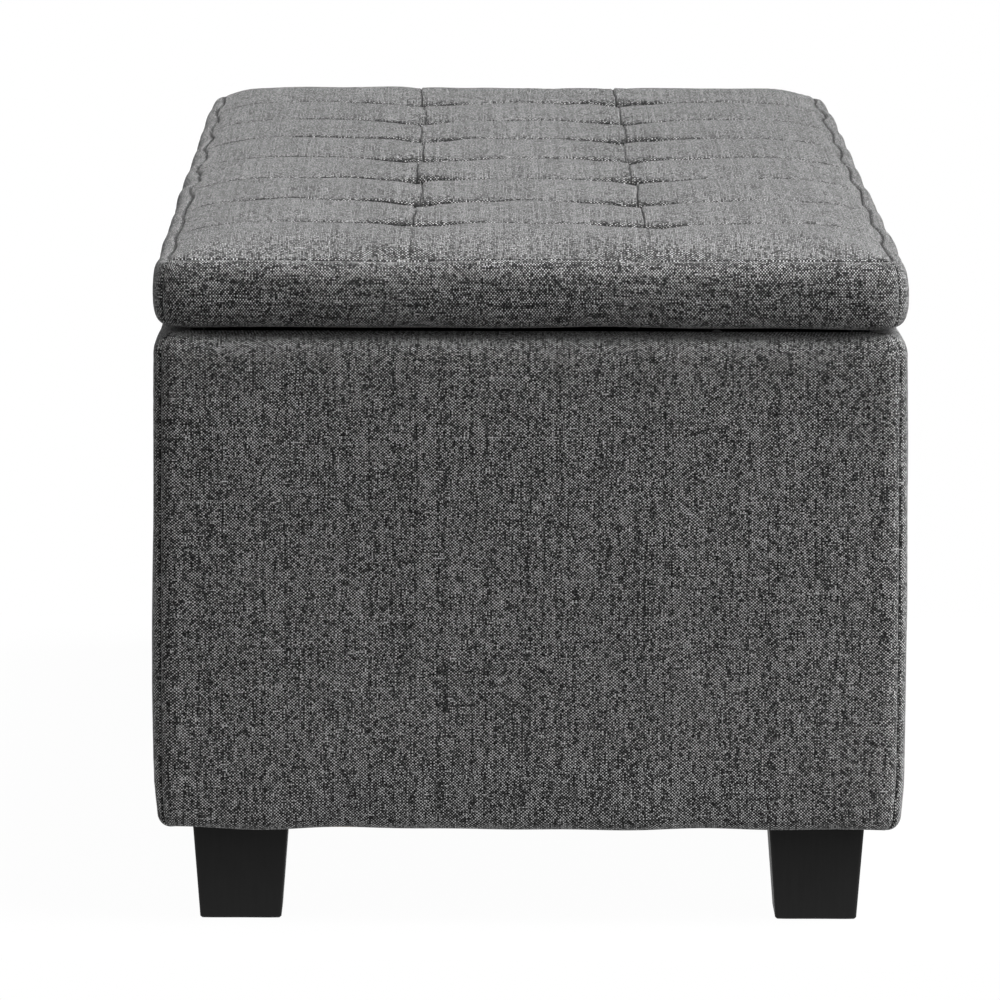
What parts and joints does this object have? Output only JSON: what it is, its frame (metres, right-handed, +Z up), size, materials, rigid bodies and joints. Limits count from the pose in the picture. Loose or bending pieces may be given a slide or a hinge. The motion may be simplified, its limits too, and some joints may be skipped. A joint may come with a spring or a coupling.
{
  "type": "storage bench",
  "caption": "Long upholstered storage bench with a biscuit-tufted lid on hinges and folding stays, over a lined box on short tapered legs.",
  "frame": {"origin": "on the floor under the centre of the bench, level with the leg soles", "axes": "+X along the bench, +Y to the back where the hinges are, +Z up; -Y is the front, the side of the lid that lifts"},
  "size_m": [1.22, 0.46, 0.425],
  "materials": {
    "linen": "grey melange plain weave",
    "foam": "open-cell foam",
    "lining": "black non-woven",
    "twine": "waxed",
    "board": "raw engineered board",
    "softwood": "planed pine",
    "black_wood": "satin black lacquer",
    "black_steel": "black powder coat",
    "zinc_steel": "zinc plated",
    "rubber": "matte"
  },
  "bodies": {
    "box": {"back_cover": "linen", "back_padding": "foam", "back_panel": "board", "bottom_panel": "board", "corner_post_back_left": "softwood", "corner_post_back_right": "softwood", "corner_post_front_left": "softwood", "corner_post_front_right": "softwood", "dust_cover": "lining", "floor_lining": "lining", "front_cover": "linen", "front_padding": "foam", "front_panel": "board", "hinge_box_screws": "zinc_steel", "hinge_centre_box_leaf": "black_steel", "hinge_left_box_leaf": "black_steel", "hinge_pins": "zinc_steel", "hinge_right_box_leaf": "black_steel", "left_cover": "linen", "left_padding": "foam", "left_panel": "board", "leg_back_left": "black_wood", "leg_back_right": "black_wood", "leg_bolts": "zinc_steel", "leg_front_left": "black_wood", "leg_front_right": "black_wood", "leg_nuts": "zinc_steel", "lid_bumpers": "rubber", "panel_screws": "zinc_steel", "right_cover": "linen", "right_padding": "foam", "right_panel": "board", "stay_box_rivets": "zinc_steel", "stay_box_screws": "zinc_steel", "stay_left_box_bracket": "black_steel", "stay_right_box_bracket": "black_steel", "wall_lining": "lining"},
    "lid": {"lid_board": "board", "lid_foam": "foam", "lid_top_cover": "linen", "lid_lining": "lining", "tufting_twine": "twine", "lid_front_band": "linen", "lid_back_band": "linen", "lid_left_band": "linen", "lid_right_band": "linen", "hinge_left_lid_leaf": "black_steel", "hinge_centre_lid_leaf": "black_steel", "hinge_right_lid_leaf": "black_steel", "hinge_lid_screws": "zinc_steel", "stay_left_lid_bracket": "black_steel", "stay_right_lid_bracket": "black_steel", "stay_lid_screws": "zinc_steel", "stay_lid_rivets": "zinc_steel"},
    "stay_left_lower_arm": {"stay_left_lower_arm": "black_steel", "stay_left_elbow_rivet": "zinc_steel"},
    "stay_left_upper_arm": {"stay_left_upper_arm": "black_steel"},
    "stay_right_lower_arm": {"stay_right_lower_arm": "black_steel", "stay_right_elbow_rivet": "zinc_steel"},
    "stay_right_upper_arm": {"stay_right_upper_arm": "black_steel"}
  },
  "joints": [
    {"name": "lid_hinge", "type": "hinge", "parent": "box", "child": "lid", "pos_m": [0, 0.225, 0.3675], "axis": [-1, 0, 0], "range_deg": [0, 95]},
    {"name": "stay_left_lower_arm_pivot", "type": "hinge", "parent": "box", "child": "stay_left_lower_arm", "pos_m": [-0.543, 0.195, 0.2575], "axis": [-1, 0, 0], "range_deg": [0, 95]},
    {"name": "stay_left_upper_arm_pivot", "type": "hinge", "parent": "lid", "child": "stay_left_upper_arm", "pos_m": [-0.546, 0.115, 0.357], "axis": [-1, 0, 0], "range_deg": [-95, 0]},
    {"name": "stay_right_lower_arm_pivot", "type": "hinge", "parent": "box", "child": "stay_right_lower_arm", "pos_m": [0.543, 0.195, 0.2575], "axis": [-1, 0, 0], "range_deg": [0, 95]},
    {"name": "stay_right_upper_arm_pivot", "type": "hinge", "parent": "lid", "child": "stay_right_upper_arm", "pos_m": [0.546, 0.115, 0.357], "axis": [-1, 0, 0], "range_deg": [-95, 0]}
  ],
  "couplings": [
    {"joint": "stay_left_lower_arm_pivot", "follows": "lid_hinge", "ratio": 1},
    {"joint": "stay_left_upper_arm_pivot", "follows": "lid_hinge", "ratio": -1},
    {"joint": "stay_right_lower_arm_pivot", "follows": "lid_hinge", "ratio": 1},
    {"joint": "stay_right_upper_arm_pivot", "follows": "lid_hinge", "ratio": -1}
  ]
}
